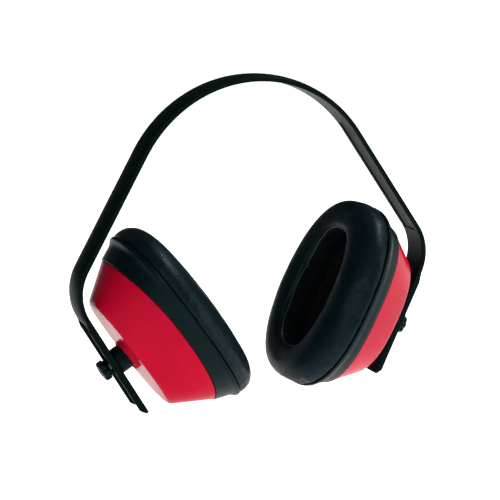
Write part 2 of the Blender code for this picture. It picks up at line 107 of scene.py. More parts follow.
CHANGE_LENGTH = 0.35 * MM         # along the band, from one form of its section to the next
BEVEL_START = 3.3 * MM            # up from the tip, just before its bevel
BEVEL_SPAN = (3.1 * MM, 0.4 * MM)  # up from the tip, the first and last ring of the bevel
SLOT_STEPS = 16                   # sides of each round end of the slot
CUT_REACH = 6.0 * MM              # of the slot's cutter, to each side of the leg

# ---------------------------------------------------------------- slider sizes
GAP = 0.3 * MM
KNOB_BASE = -2.8 * MM
KNOB_END = -7.7 * MM
KNOB_RADIUS = 5.6 * MM
KNOB_LOBES = 8
KNOB_FLUTE = 0.9 * MM             # depth of the flutes between the lobes
KNOB_BORE = 2.0 * MM
COLLAR_RADIUS = 6.75 * MM
COLLAR_START = BAND_INNER + GAP
COLLAR_END = 9.5 * MM
COLLAR_BORE = 2.4 * MM
TONGUE = (7.0 * MM, 5.8 * MM)     # length and width of the block that runs in the slot
BALL_DEPTH = 16.4 * MM

# ---------------------------------------------------------------- cup sizes
FACE_HALF = (30.4 * MM, 21.6 * MM)   # half length and half width of the flat face
EDGE_HALF = (34.7 * MM, 24.4 * MM)   # where the face's rounded edge meets the wall
RIM_HALF = (44.4 * MM, 38.0 * MM)    # where the cup's wall meets the rim ring
LIP_HALF = (50.8 * MM, 42.4 * MM)    # outer lip of the rim ring
HOLE_HALF = (32.6 * MM, 18.8 * MM)   # ear opening through the cushion
WINDOW_HALF = (39.8 * MM, 33.2 * MM)  # opening through the rim ring
FACE_DEPTH = 9.4 * MM
EDGE_DEPTH = 11.8 * MM
RIM_DEPTH = 27.7 * MM
RIM_BOW = 3.6 * MM                   # the rim lies deeper on its flanks than at its ends
LIP_DEPTH = 39.9 * MM
CUSHION_FACE = 54.4 * MM
WALL = 2.2 * MM
BOSS_RADIUS = 9.0 * MM               # raised boss in the middle of the flat face
BOSS_TOP = 7.4 * MM
BOSS_BORE = 8.15 * MM                # its mouth, wide enough for the collar as the cup rocks
HOLLOW_RADIUS = 7.9 * MM             # floor of the hollow that the collar's end stands in
HOLLOW_FLOOR = 11.6 * MM
FLOOR_INSIDE = 13.4 * MM
BOWL_HALF = (34.0 * MM, 23.0 * MM)   # mouth of the foam liner's bowl
BOWL_FLOOR = 24.4 * MM
POCKET = (8.2 * MM, 22.8 * MM)       # radius and depth of the liner's pocket for the socket
LINER_UNEVENNESS = 0.35 * MM
LINER_FREQUENCY = 260.0              # of that unevenness, per metre
SOCKET_HOLE = 3.7 * MM
OVAL_POWER = 2.4                     # 2 is an ellipse, more is squarer
RING_POINTS = 144
BEND_STEPS = 5                       # points along a rounded corner, less one
SHARP_ANGLE = math.radians(32.0)     # an edge that turns more than this looks sharp
BEVELLED_ANGLE = math.radians(50.0)  # and one that turns more than this gets a bevel
BEVELLED_SHARP = math.radians(40.0)  # the sharp-edge limit on a bevelled piece


# ---------------------------------------------------------------- places
def facts(kind, name):
    return next(fact for fact in kind if fact["name"] == name)


def local_frame(origin, outward, side):
    """World matrix of an ear's frame from its origin and its outward direction."""
    head = -Vector(outward)
    across = Vector((0.0, side, 0.0))
    axes = Matrix((across.cross(head), across, head)).transposed().to_4x4()
    return Matrix.Translation(origin) @ axes


def leg_frame(prefix):
    knob = facts(frame["joints"], prefix + "_knob_turn")
    return local_frame(Vector(knob["pos_m"]), knob["axis"], SIDES[prefix])


def cup_frame(prefix):
    """Like the leg's frame, but turned about the ball by the cup's tilt at rest."""
    ball = Vector(facts(frame["joints"], prefix + "_cup_swivel")["pos_m"])
    outward = Vector(facts(frame["record"]["mounts"], prefix + "_cup_face")["axis"])
    return local_frame(ball + outward * BALL_DEPTH, outward, SIDES[prefix])


# ---------------------------------------------------------------- shape helpers
def grown(half, amount):
    """The half sizes of an oval that is larger all round by that amount."""
    return (half[0] + amount, half[1] + amount)


def between(low, high, share):
    """The half sizes of an oval that share of the way from low to high."""
    return tuple(a + (b - a) * share for a, b in zip(low, high))


def level(half, depth, bow=0.0):
    """One point of an oval loft's profile: both half sizes, the depth and the bow.

    The bow is how much deeper the oval's long flanks lie than its two ends.
    """
    return Vector((half[0], half[1], depth, bow))


def spot(radius, depth):
    """One point of a turned profile."""
    return level((radius, radius), depth)


def softened(corners, closed=False):
    """Rounds off a profile of (point, soft) corners; soft is where the bend starts."""
    points = []
    for index, (point, soft) in enumerate(corners):
        at_end = not closed and index in (0, len(corners) - 1)
        if at_end or soft == 0.0:
            points.append(point)
            continue
        before = corners[index - 1][0]
        after = corners[(index + 1) % len(corners)][0]
        start = point.lerp(before, min(soft / (before - point).length, 0.49))
        end = point.lerp(after, min(soft / (after - point).length, 0.49))
        for step in range(BEND_STEPS + 1):
            share = step / BEND_STEPS
            points.append(start.lerp(point, share).lerp(point.lerp(end, share), share))
    return points


def ring(point, power):
    """The points of one oval; a power of 2 and equal half sizes make a circle."""
    points = []
    for step in range(RING_POINTS):
        angle = 2.0 * math.pi * step / RING_POINTS
        cosine, sine = math.cos(angle), math.sin(angle)
        x = point[0] * math.copysign(abs(cosine) ** (2.0 / power), cosine)
        y = point[1] * math.copysign(abs(sine) ** (2.0 / power), sine)
        points.append(Vector((x, y, point[2] + point[3] * sine ** 2)))
    return points


def ovals(corners, closed=False):
    return [ring(point, OVAL_POWER) for point in softened(corners, closed)]


def circles(corners, closed=False):
    return [ring(point, 2.0) for point in softened(corners, closed)]


def shade(obj, angle):
    """Smooth shading, with a sharp edge wherever the faces meet at over that angle."""
    obj.data.shade_smooth()
    obj.data.set_sharp_from_angle(angle=angle)


def new_object(name, bm):
    bmesh.ops.recalc_face_normals(bm, faces=bm.faces)
    mesh = bpy.data.meshes.new(name)
    bm.to_mesh(mesh)
    bm.free()
    obj = bpy.data.objects.new(name, mesh)
    shade(obj, SHARP_ANGLE)
    bpy.context.scene.collection.objects.link(obj)
    return obj


def lofted(rings, closed):
    """A bmesh skin over rings; a closed loft joins the last ring to the first."""
    bm = bmesh.new()
    rows = [[bm.verts.new(point) for point in points] for points in rings]
    pairs = list(zip(rows, rows[1:]))
    if closed:
        pairs.append((rows[-1], rows[0]))
    else:
        bm.faces.new(rows[0])
        bm.faces.new(rows[-1])
    for low, high in pairs:
        for index in range(len(low)):
            following = (index + 1) % len(low)
            bm.faces.new((low[index], low[following], high[following], high[index]))
    return bm


def loft(name, rings, closed=True):
    return new_object(name, lofted(rings, closed))


def apply_modifiers(obj):
    """Bakes an object's modifiers into its mesh."""
    graph = bpy.context.evaluated_depsgraph_get()
    shaped = bpy.data.meshes.new_from_object(obj.evaluated_get(graph))
    obj.modifiers.clear()
    obj.data = shaped


def combine(target, tool, operation):
    """Joins or cuts target with tool, which is then removed."""
    modifier = target.modifiers.new(operation.lower(), "BOOLEAN")
    modifier.operation = operation
    modifier.solver = "EXACT"
    modifier.object = tool
    apply_modifiers(target)
    bpy.data.objects.remove(tool, do_unlink=True)


def soften_edges(obj, width):
    bevel = obj.modifiers.new("edges", "BEVEL")
    bevel.width = width
    bevel.segments = 2
    bevel.limit_method = "ANGLE"
    bevel.angle_limit = BEVELLED_ANGLE
    apply_modifiers(obj)
    shade(obj, BEVELLED_SHARP)


def settle(obj, matrix):
    """Moves the mesh itself into place, so that the object stays unmoved."""
    obj.data.transform(matrix)
    obj.data.update()


def dress(obj, material, slot, body, *nodes):
    """Gives a piece its material, its body and the CAD nodes it stands for."""
    obj.data.materials.clear()
    obj.data.materials.append(material)
    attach(obj, body)
    if nodes:
        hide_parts(*nodes)
    return obj


# ---------------------------------------------------------------- headband
# A travel is a distance along the band's centre line, from the top of the arc.
END_ANGLE = math.pi / 2.0 + LEAN
LEG_TRAVEL = ARC_RADIUS * ARC_HALF
ELBOW_TRAVEL = LEG_TRAVEL + LEG_LENGTH
END_LEG_TRAVEL = ELBOW_TRAVEL + ELBOW_RADIUS * (END_ANGLE - ARC_HALF)
TIP_TRAVEL = END_LEG_TRAVEL + END_LENGTH
CHANNEL_FROM = LEG_TRAVEL - CHANNEL_OVERLAP
CHANNEL_TO = ELBOW_TRAVEL + CHANNEL_REACH
BAND_TOP = cad_box[1].z - BAND_CROWN


def band_station(travel):
    """Centre-line point, outward angle and distance down the end leg."""
    down_end = travel - END_LEG_TRAVEL
    turned = min(travel, LEG_TRAVEL) / ARC_RADIUS
    x = ARC_RADIUS * math.sin(turned)
    z = ARC_RADIUS * (math.cos(turned) - 1.0)
    straight = min(max(travel - LEG_TRAVEL, 0.0), LEG_LENGTH)
    x += straight * math.cos(ARC_HALF)
    z -= straight * math.sin(ARC_HALF)
    angle = turned
    if travel > ELBOW_TRAVEL:
        bend = (travel - LEG_TRAVEL - LEG_LENGTH) / ELBOW_RADIUS
        angle = min(ARC_HALF + bend, END_ANGLE)
        x += ELBOW_RADIUS * (math.sin(angle) - math.sin(ARC_HALF))
        z -= ELBOW_RADIUS * (math.cos(ARC_HALF) - math.cos(angle))
    if down_end > 0.0:
        x += down_end * math.cos(END_ANGLE)
        z -= down_end * math.sin(END_ANGLE)
    return Vector((x, 0.0, z)), angle, down_end


def band_outline(travel, down_end):
    """Half the band's section, from the middle inside to the middle outside."""
    half = BAND_WIDTH / 2.0
    slotted = down_end > RIM_START
    channel = CHANNEL_DEPTH if CHANNEL_FROM < travel < CHANNEL_TO else 0.0
    rise = BAND_CROWN - BAND_EDGE
    edge = RIM_HEIGHT if slotted else BAND_EDGE
    narrow = slotted and down_end <= RIM_START + RIM_TAPER
    rim = RIM_NARROW * RIM_WIDTH if narrow else RIM_WIDTH
    rim_top = RIM_HEIGHT if slotted else BAND_EDGE + RIM_RISE * rise
    inside = half - rim - CORNER
    corners = [
        (Vector((0.0, -BAND_INNER + channel)), 0.0),
        (Vector((CHANNEL_HALF, -BAND_INNER + channel)), CRISP),
        (Vector((CHANNEL_HALF + CORNER, -BAND_INNER)), CRISP),
        (Vector((half, -BAND_INNER)), 0.45 * MM),
        (Vector((half, edge)), 0.5 * MM),
        (Vector((half - rim, rim_top)), 0.3 * MM),
    ]
    for share in (1.0, 0.75, 0.5, 0.25, 0.0):
        crown = BAND_CROWN - CROWN_DROP * rise * share * share
        out = SLOT_FLOOR if slotted else crown
        corners.append((Vector((inside * share, out)), CRISP if share == 1.0 else 0.0))
    tip = TIP_THICKNESS + (END_LENGTH - down_end) * math.tan(TIP_BEVEL)
    outline = softened(corners)
    return [Vector((point.x, min(point.y, tip))) for point in outline]


def band_ring(travel, side, inset=0.0):
    """The band's closed section at that travel, drawn in all round by the inset."""
    centre, angle, down_end = band_station(travel)
    half_outline = band_outline(travel, down_end)
    far_half = [Vector((-point.x, point.y)) for point in reversed(half_outline[1:-1])]
    normal = Vector((side * math.sin(angle), 0.0, math.cos(angle)))
    middle = Vector((side * centre.x, 0.0, BAND_TOP + centre.z))
    shrink = 1.0 - inset / (BAND_WIDTH / 2.0)
    squeeze = 1.0 - inset / BAND_INNER
    return [middle + normal * point.y * squeeze + Vector((0.0, point.x * shrink, 0.0))
            for point in half_outline + far_half]


def spread(start, end, count):
    """Evenly spaced values from start up to, but without, end."""
    return [start + (end - start) * step / count for step in range(count)]


def band_travels():
    """Where the band's sections lie: close together wherever its shape changes."""
    travels = spread(0.0, LEG_TRAVEL, ARC_RINGS)
    travels += spread(LEG_TRAVEL, ELBOW_TRAVEL, LEG_RINGS)
    travels += spread(ELBOW_TRAVEL, END_LEG_TRAVEL, ELBOW_RINGS) + [END_LEG_TRAVEL]
    rims = END_LEG_TRAVEL + RIM_START
    travels += [rims, rims + CHANGE_LENGTH, rims + RIM_TAPER, rims + RIM_TAPER + CHANGE_LENGTH]
    first, last = (TIP_TRAVEL - up for up in BEVEL_SPAN)
    travels += [TIP_TRAVEL - BEVEL_START] + spread(first, last, TIP_RINGS) + [last]
    for end in (CHANNEL_FROM, CHANNEL_TO):
        travels += [end - CHANGE_LENGTH / 2.0, end + CHANGE_LENGTH / 2.0]
    return sorted(travels)


def headband(material):
    travels = band_travels()
    right = [band_ring(travel, 1.0) for travel in travels]
    right.append(band_ring(TIP_TRAVEL, 1.0, TIP_INSET))
    left = [band_ring(travel, -1.0) for travel in travels[1:]]
    left.append(band_ring(TIP_TRAVEL, -1.0, TIP_INSET))
    band = loft("headband_moulding", list(reversed(left)) + right, closed=False)
    for prefix in SIDES:
        combine(band, slot_cutter(prefix), "DIFFERENCE")
    soften_edges(band, EDGE_BEVEL)
    return dress(band, material, "headband_plastic", "headband", "headband")


def slot_cutter(prefix):
    """A prism with round ends that cuts the slot through an end leg."""
    radius = SLOT_WIDTH / 2.0
    outline = []
    for middle, start in ((PIVOT_DOWN - SLOT_START - radius, -90.0),
                          (PIVOT_DOWN - SLOT_END + radius, 90.0)):
        for step in range(SLOT_STEPS + 1):
            angle = math.radians(start + 180.0 * step / SLOT_STEPS)
            outline.append((middle + radius * math.cos(angle), radius * math.sin(angle)))
    rings = [[Vector((x, y, z)) for x, y in outline] for z in (-CUT_REACH, CUT_REACH)]
    cutter = loft("slot_cutter", rings, closed=False)
    cutter.matrix_world = leg_frame(prefix)
    return cutter


# ---------------------------------------------------------------- slider
def fluted(point):
    """A ring of radius point[0] whose flutes are point[1] deep."""
    radius, flute, depth = point
    points = []
    for step in range(RING_POINTS):
        angle = 2.0 * math.pi * step / RING_POINTS
        dip = (0.5 - 0.5 * math.cos(KNOB_LOBES * angle)) ** 2
        reach = radius - flute * dip
        points.append(Vector((reach * math.cos(angle), reach * math.sin(angle), depth)))
    return points


def adjuster_knob(prefix, material):
    skirt = KNOB_BASE - 1.3 * MM
    corners = [
        (Vector((KNOB_BORE, 0.0, KNOB_BASE - 3.0 * MM)), 0.0),
        (Vector((KNOB_BORE, 0.0, KNOB_BASE)), 0.2 * MM),
        (Vector((4.4 * MM, 0.0, KNOB_BASE)), 0.3 * MM),
        (Vector((4.5 * MM, 0.0, skirt)), 0.2 * MM),
        (Vector((KNOB_RADIUS, KNOB_FLUTE, skirt - 0.1 * MM)), 0.35 * MM),
        (Vector((KNOB_RADIUS, KNOB_FLUTE, KNOB_END + 0.4 * MM)), 1.5 * MM),
        (Vector((KNOB_RADIUS - 1.9 * MM, 0.0, KNOB_END)), 0.5 * MM),
        (Vector((2.4 * MM, 0.0, KNOB_END)), 0.25 * MM),
        (Vector((2.1 * MM, 0.0, KNOB_END + 0.35 * MM)), 0.25 * MM),
        (Vector((0.1 * MM, 0.0, KNOB_END + 0.4 * MM)), 0.0),
    ]
    knob = loft(prefix + "_knob_grip", [fluted(p) for p in softened(corners)], closed=False)
    settle(knob, leg_frame(prefix))
    return dress(knob, material, "black_plastic", prefix + "_knob", prefix + "_adjuster_knob")


def slider_collar(prefix, material):
    groove = COLLAR_END - 1.7 * MM
    neck = COLLAR_RADIUS - 0.5 * MM
    corners = [
        (spot(COLLAR_BORE, COLLAR_START), 0.2 * MM),
        (spot(COLLAR_RADIUS, COLLAR_START), 0.9 * MM),
        (spot(COLLAR_RADIUS, groove - 0.3 * MM), 0.3 * MM),
        (spot(neck, groove), 0.15 * MM),
        (spot(neck, groove + 0.3 * MM), 0.15 * MM),
        (spot(COLLAR_RADIUS, groove + 0.5 * MM), 0.2 * MM),
        (spot(COLLAR_RADIUS, COLLAR_END), 0.6 * MM),
        (spot(COLLAR_BORE, COLLAR_END), 0.3 * MM),
    ]
    collar = loft(prefix + "_slider_guide", circles(corners, closed=True))
    combine(collar, tongue(prefix), "UNION")
    combine(collar, stud_bore(prefix), "DIFFERENCE")
    shade(collar, SHARP_ANGLE)
    settle(collar, leg_frame(prefix))
    return dress(collar, material, "black_plastic", prefix + "_slider", prefix + "_slider_collar")


def stud_bore(prefix):
    """Clears the stud's way through the block in the slot and into the guide."""
    ends = (-2.0 * SLOT_FLOOR, COLLAR_START + 1.2 * MM)
    rings = [ring(spot(COLLAR_BORE, depth), 2.0) for depth in ends]
    return loft(prefix + "_stud_bore", rings, closed=False)


def tongue(prefix):
    """The block that keeps the slider straight in the leg's slot."""
    low = -SLOT_FLOOR + 0.1 * MM
    high = COLLAR_START + 0.6 * MM
    bm = bmesh.new()
    bmesh.ops.create_cube(bm, size=1.0)
    bmesh.ops.scale(bm, vec=(*TONGUE, high - low), verts=bm.verts)
    bmesh.ops.translate(bm, vec=(0.0, 0.0, (low + high) / 2.0), verts=bm.verts)
    block = new_object(prefix + "_tongue", bm)
    soften_edges(block, 0.3 * MM)
    return block


# ---------------------------------------------------------------- cup
def wall_half(depth):
    """Half sizes of the cup's straight wall at that depth."""
    return between(EDGE_HALF, RIM_HALF, (depth - EDGE_DEPTH) / (RIM_DEPTH - EDGE_DEPTH))


def cup_shell(prefix, material):
    foot = BOSS_RADIUS + 2.0 * MM
    seat = grown(RIM_HALF, -1.2 * MM)
    seat_end = RIM_DEPTH + 5.7 * MM
    inner = grown(seat, -1.6 * MM)
    corner = EDGE_DEPTH + WALL
    floor_depth = FACE_DEPTH + 2.0 * MM
    boss = [
        (spot(SOCKET_HOLE, HOLLOW_FLOOR), 0.0),
        (spot(HOLLOW_RADIUS, HOLLOW_FLOOR), 0.25 * MM),
        (spot(BOSS_BORE, BOSS_TOP), 0.2 * MM),
        (spot(BOSS_RADIUS - 0.35 * MM, BOSS_TOP), 0.3 * MM),
        (spot(BOSS_RADIUS - 0.3 * MM, FACE_DEPTH), 0.5 * MM),
        (spot(BOSS_RADIUS + 1.2 * MM, FACE_DEPTH), 0.0),
    ]
    wall = [
        (level(grown(FACE_HALF, -1.0 * MM), FACE_DEPTH), 0.0),
        (level(wall_half(FACE_DEPTH), FACE_DEPTH), 2.8 * MM),
        (level(RIM_HALF, RIM_DEPTH, RIM_BOW), 0.3 * MM),
        (level(seat, RIM_DEPTH + 0.1 * MM, RIM_BOW), 0.15 * MM),
        (level(seat, seat_end), 0.2 * MM),
        (level(inner, seat_end), 0.2 * MM),
        (level(inner, RIM_DEPTH + 0.5 * MM, RIM_BOW), 0.6 * MM),
        (level(grown(wall_half(corner), -WALL), corner), 1.0 * MM),
        (level(grown(EDGE_HALF, -WALL - 1.1 * MM), floor_depth), 1.0 * MM),
        (level((foot + 2.0 * MM, foot + 0.4 * MM), floor_depth), 0.0),
    ]
    floor = [
        (spot(foot, floor_depth), 0.0),
        (spot(foot - 0.1 * MM, FLOOR_INSIDE), 0.2 * MM),
        (spot(SOCKET_HOLE, FLOOR_INSIDE), 0.0),
    ]
    rings = circles(boss) + ovals(wall) + circles(floor)
    shell = loft(prefix + "_cup_moulding", rings)
    settle(shell, cup_frame(prefix))
    return dress(shell, material, "red_plastic", prefix + "_cup", prefix + "_cup_shell")


def stepped(end, flank):
    """Half sizes between the cup's rim and the lip, shared out at ends and flanks."""
    return (between(RIM_HALF, LIP_HALF, end)[0], between(RIM_HALF, LIP_HALF, flank)[1])


def rim_ring(prefix, material):
    """A wall round the cup's mouth and a flanged lip, stepped hollow at its ends."""
    back = RIM_DEPTH + 0.4 * MM
    shelf = LIP_DEPTH - 1.3 * MM
    bore = grown(RIM_HALF, -0.9 * MM)
    corners = [
        (level(bore, back, RIM_BOW), 0.1 * MM),
        (level(stepped(0.11, 0.11), back, RIM_BOW), 0.35 * MM),
        (level(stepped(0.44, 0.32), LIP_DEPTH - 6.4 * MM), 1.0 * MM),
        (level(stepped(0.62, 0.62), LIP_DEPTH - 3.4 * MM), 1.6 * MM),
        (level(stepped(0.98, 0.86), LIP_DEPTH - 1.6 * MM), 0.6 * MM),
        (level(LIP_HALF, LIP_DEPTH + 0.2 * MM), 0.25 * MM),
        (level(grown(LIP_HALF, -1.3 * MM), LIP_DEPTH + 0.2 * MM), 0.15 * MM),
        (level(grown(LIP_HALF, -1.6 * MM), shelf), 0.2 * MM),
        (level(WINDOW_HALF, shelf), 0.2 * MM),
        (level(WINDOW_HALF, shelf - 2.0 * MM), 0.2 * MM),
        (level(bore, shelf - 2.0 * MM), 0.4 * MM),
    ]
    rim = loft(prefix + "_rim_moulding", ovals(corners, closed=True))
    settle(rim, cup_frame(prefix))
    return dress(rim, material, "black_plastic", prefix + "_cup", prefix + "_rim_ring")


def foam_liner(prefix, material):
    """The sound-deadening bowl that lines the cup, soft-edged and a little uneven."""
    low = FLOOR_INSIDE + 0.4 * MM
    top = LIP_DEPTH - 1.5 * MM
    inset = -(WALL + 1.2 * MM)
    shoulder = RIM_DEPTH - 2.0 * MM
    throat = grown(WINDOW_HALF, -0.7 * MM)
    radius, ceiling = POCKET
    pocket = [
        (spot(0.3 * MM, ceiling), 0.0),
        (spot(radius, ceiling), 0.8 * MM),
        (spot(radius, low), 0.0),
    ]
    corners = [
        (level(grown(wall_half(low), inset - 1.0 * MM), low), 0.0),
        (level(grown(wall_half(low + 2.0 * MM), inset), low + 2.0 * MM), 1.0 * MM),
        (level(grown(wall_half(shoulder), inset), shoulder, RIM_BOW), 2.0 * MM),
        (level(throat, RIM_DEPTH + 4.0 * MM), 1.0 * MM),
        (level(throat, top), 1.4 * MM),
        (level(grown(BOWL_HALF, 0.4 * MM), top), 2.0 * MM),
        (level(grown(BOWL_HALF, -2.2 * MM), BOWL_FLOOR + 6.5 * MM), 2.5 * MM),
        (level(grown(BOWL_HALF, -6.5 * MM), BOWL_FLOOR + 1.2 * MM), 3.0 * MM),
        (level(grown(BOWL_HALF, -14.0 * MM), BOWL_FLOOR + 0.1 * MM), 2.0 * MM),
        (level((0.5 * MM, 0.3 * MM), BOWL_FLOOR), 0.0),
    ]
    rings = circles(pocket) + ovals(corners)
    liner = loft(prefix + "_foam_pad", rings, closed=False)
    for vertex in liner.data.vertices:
        if vertex.co.z > ceiling + 0.5 * MM:
            vertex.co.z += LINER_UNEVENNESS * noise.noise(vertex.co * LINER_FREQUENCY)
    settle(liner, cup_frame(prefix))
    dress(liner, material, "foam", prefix + "_cup", prefix + "_foam_liner")
    return liner


# ---------------------------------------------------------------- ear cushion
CUSHION_BACK = LIP_DEPTH + 0.25 * MM
SEAM_HALF = grown(HOLE_HALF, 1.2 * MM)
SEAM_WIDTH = 0.6 * MM
SEAM_GROOVE = 0.3 * MM
SEAM_RAY = 5.0 * MM         # above the face, where the search for its surface starts
BEAD_RADIUS = 0.3 * MM
BEAD_LIFT = 0.35            # share of its radius by which the bead stands out
BEAD_POINTS = 10
VOXEL = 1.2 * MM
HELD_HEIGHT = 1.2 * MM      # of the cushion's back edge, which the plate holds still
AIR_PRESSURE = 4.0
CLOTH_MASS = 0.002
CLOTH_GROWTH = 0.01         # share by which the skin is cut wider than its form
CLOTH_FRAMES = 20
CALM_PASSES = 8             # of smoothing after the cloth
SWELL_CAP = 0.9 * MM
SEED_STEP = 7.0             # in the noise, so that the two cushions differ
UNEVENNESS = 0.2 * MM       # broad swells of the skin
SWELL_FREQUENCY = 60.0      # of those, per metre
GATHERS = 0.28 * MM         # ripples where the skin is drawn in at the back edge
GATHER_HEIGHT = 0.22        # where they are deepest, as a share of the cushion's height
GATHER_REACH = 0.3          # share of that height over which they fade out
GATHER_FREQUENCY = (14.0, 1.4)  # of the ripples, round the oval and up the cushion
FACE_HEIGHT = 0.7           # share of the height above which the seam's groove shows
OUTER_HALF = between(LIP_HALF, HOLE_HALF, 0.4)   # the gathers lie outside this oval


def cushion_form():
    """The unstuffed cushion: a ring a little smaller than the finished one.

    Its outside starts flush with the lip, leans in over the flank, the shoulder and
    the brow to the crown, and then falls steeply into the ear opening.
    """
    deep = CUSHION_FACE - CUSHION_BACK
    outer = grown(LIP_HALF, -0.1 * MM)
    flank = (outer[0] - 0.6 * MM, outer[1] - 1.9 * MM)
    shoulder = (outer[0] - 3.4 * MM, outer[1] - 7.4 * MM)
    brow = (outer[0] - 7.4 * MM, outer[1] - 12.0 * MM)
    crown = between(LIP_HALF, HOLE_HALF, 0.64)
    corners = [
        (level(outer, CUSHION_BACK), 0.2 * MM),
        (level(grown(outer, 0.1 * MM), CUSHION_BACK + 0.22 * deep), 1.2 * MM),
        (level(flank, CUSHION_BACK + 0.52 * deep), 2.0 * MM),
        (level(shoulder, CUSHION_BACK + 0.8 * deep), 2.0 * MM),
        (level(brow, CUSHION_BACK + 0.94 * deep), 2.0 * MM),
        (level(crown, CUSHION_FACE - 0.4 * MM), 3.0 * MM),
        (level(grown(HOLE_HALF, 2.8 * MM), CUSHION_BACK + 0.93 * deep), 1.2 * MM),
        (level(grown(HOLE_HALF, 0.7 * MM), CUSHION_BACK + 0.84 * deep), 0.8 * MM),
        (level(grown(HOLE_HALF, 0.3 * MM), CUSHION_BACK), 0.8 * MM),
    ]
    return loft("cushion_form", ovals(corners, closed=True))


def stuffed(form):
    """Swells the skin by air pressure, with its back held flat on the plate."""
    remesh = form.modifiers.new("even", "REMESH")
    remesh.mode = "VOXEL"
    remesh.voxel_size = VOXEL
    apply_modifiers(form)
    start = [vertex.co.copy() for vertex in form.data.vertices]
    held = form.vertex_groups.new(name="held")
    held.add([index for index, point in enumerate(start)
              if point.z < CUSHION_BACK + HELD_HEIGHT], 1.0, "REPLACE")
    cloth = form.modifiers.new("cloth", "CLOTH")
    cloth.settings.vertex_group_mass = "held"
    cloth.settings.mass = CLOTH_MASS
    cloth.settings.use_pressure = True
    cloth.settings.uniform_pressure_force = AIR_PRESSURE
    cloth.settings.shrink_min = -CLOTH_GROWTH
    cloth.settings.effector_weights.gravity = 0.0
    for number in range(1, CLOTH_FRAMES + 1):
        bpy.context.scene.frame_set(number)
    apply_modifiers(form)
    for vertex, before in zip(form.data.vertices, start):
        move = vertex.co - before
        if move.length > SWELL_CAP:
            vertex.co = before + move.normalized() * SWELL_CAP
    bpy.context.scene.frame_set(1)
    calm = form.modifiers.new("calm", "SMOOTH")
    calm.factor = 0.5
    calm.iterations = CALM_PASSES
    apply_modifiers(form)
    smooth = form.modifiers.new("fine", "SUBSURF")
    smooth.levels = 1
    smooth.render_levels = 1
    apply_modifiers(form)
    return form


def oval_angle(point):
    return math.atan2(point.y / LIP_HALF[1], point.x / LIP_HALF[0])


def oval_reach(point, half):
    """1 on the oval of those half sizes, less inside it and more outside."""
    return (abs(point.x / half[0]) ** OVAL_POWER
            + abs(point.y / half[1]) ** OVAL_POWER) ** (1.0 / OVAL_POWER)


def crease(cushion, seed):
    """Presses the seam's groove into the face and gathers the skin at the back edge."""
    offset = Vector((seed, 0.0, 0.0))
    around, upward = GATHER_FREQUENCY
    normals = [vertex.normal.copy() for vertex in cushion.data.vertices]
    for vertex, normal in zip(cushion.data.vertices, normals):
        point = vertex.co
        up = (point.z - CUSHION_BACK) / (CUSHION_FACE - CUSHION_BACK)
        across = (oval_reach(point, SEAM_HALF) - 1.0) * HOLE_HALF[1]
        groove = math.exp(-(across / SEAM_WIDTH) ** 2) if up > FACE_HEIGHT else 0.0
        outside = oval_reach(point, OUTER_HALF) > 1.0
        faded = abs(up - GATHER_HEIGHT) / GATHER_REACH
        gather = max(0.0, 1.0 - faded) if outside else 0.0
        place = Vector((around * oval_angle(point), upward * up, 0.0))
        ripple = noise.noise(place + offset)
        broad = noise.noise(point * SWELL_FREQUENCY + offset)
        lift = UNEVENNESS * broad + GATHERS * ripple * gather - SEAM_GROOVE * groove
        vertex.co = point + normal * lift


def seam_bead(name, cushion):
    """A welded bead that lies in the groove round the ear opening."""
    surface = BVHTree.FromObject(cushion, bpy.context.evaluated_depsgraph_get())
    line = []
    for point in ring(level(SEAM_HALF, CUSHION_FACE + SEAM_RAY), OVAL_POWER):
        line.append(surface.ray_cast(point, -UP)[0])
    rows = []
    turns = [2.0 * math.pi * step / BEAD_POINTS for step in range(BEAD_POINTS)]
    for index, point in enumerate(line):
        ahead = (line[(index + 1) % len(line)] - line[index - 1]).normalized()
        out = ahead.cross(UP).normalized()
        rows.append([point + BEAD_RADIUS * (out * math.cos(turn)
                                            + UP * (math.sin(turn) + BEAD_LIFT))
                     for turn in turns])
    return loft(name, rows)


def paint_opening_shade(cushion, cushion_place, painted_shade):
    """Gives the walls of the ear opening, inside the seam, a darker and duller material: painted shade."""
    cushion.data.materials.append(painted_shade)
    into_ear_frame = cushion_place.inverted()
    for face in cushion.data.polygons:
        if oval_reach(into_ear_frame @ face.center, SEAM_HALF) < 1.0:
            face.material_index = 1


def ear_cushions(material, painted_shade, painted_highlight):
    master = stuffed(cushion_form())
    for index, prefix in enumerate(SIDES):
        cushion = master.copy()
        cushion.data = master.data.copy()
        cushion.name = prefix + "_ear_cushion"
        bpy.context.scene.collection.objects.link(cushion)
        crease(cushion, SEED_STEP * index)
        cushion.data.shade_smooth()
        bead = seam_bead(prefix + "_cushion_seam", cushion)
        for piece in (cushion, bead):
            settle(piece, cup_frame(prefix))
        dress(cushion, material, "vinyl", prefix + "_cup", prefix + "_cushion_skin",
              prefix + "_cushion_foam")
        # the seam's bead gets the lighter vinyl: painted highlight
        dress(bead, painted_highlight, "vinyl", prefix + "_cup")
        # the walls inside the seam get the darker material: painted shade
        paint_opening_shade(cushion, cup_frame(prefix), painted_shade)
    bpy.data.objects.remove(master, do_unlink=True)


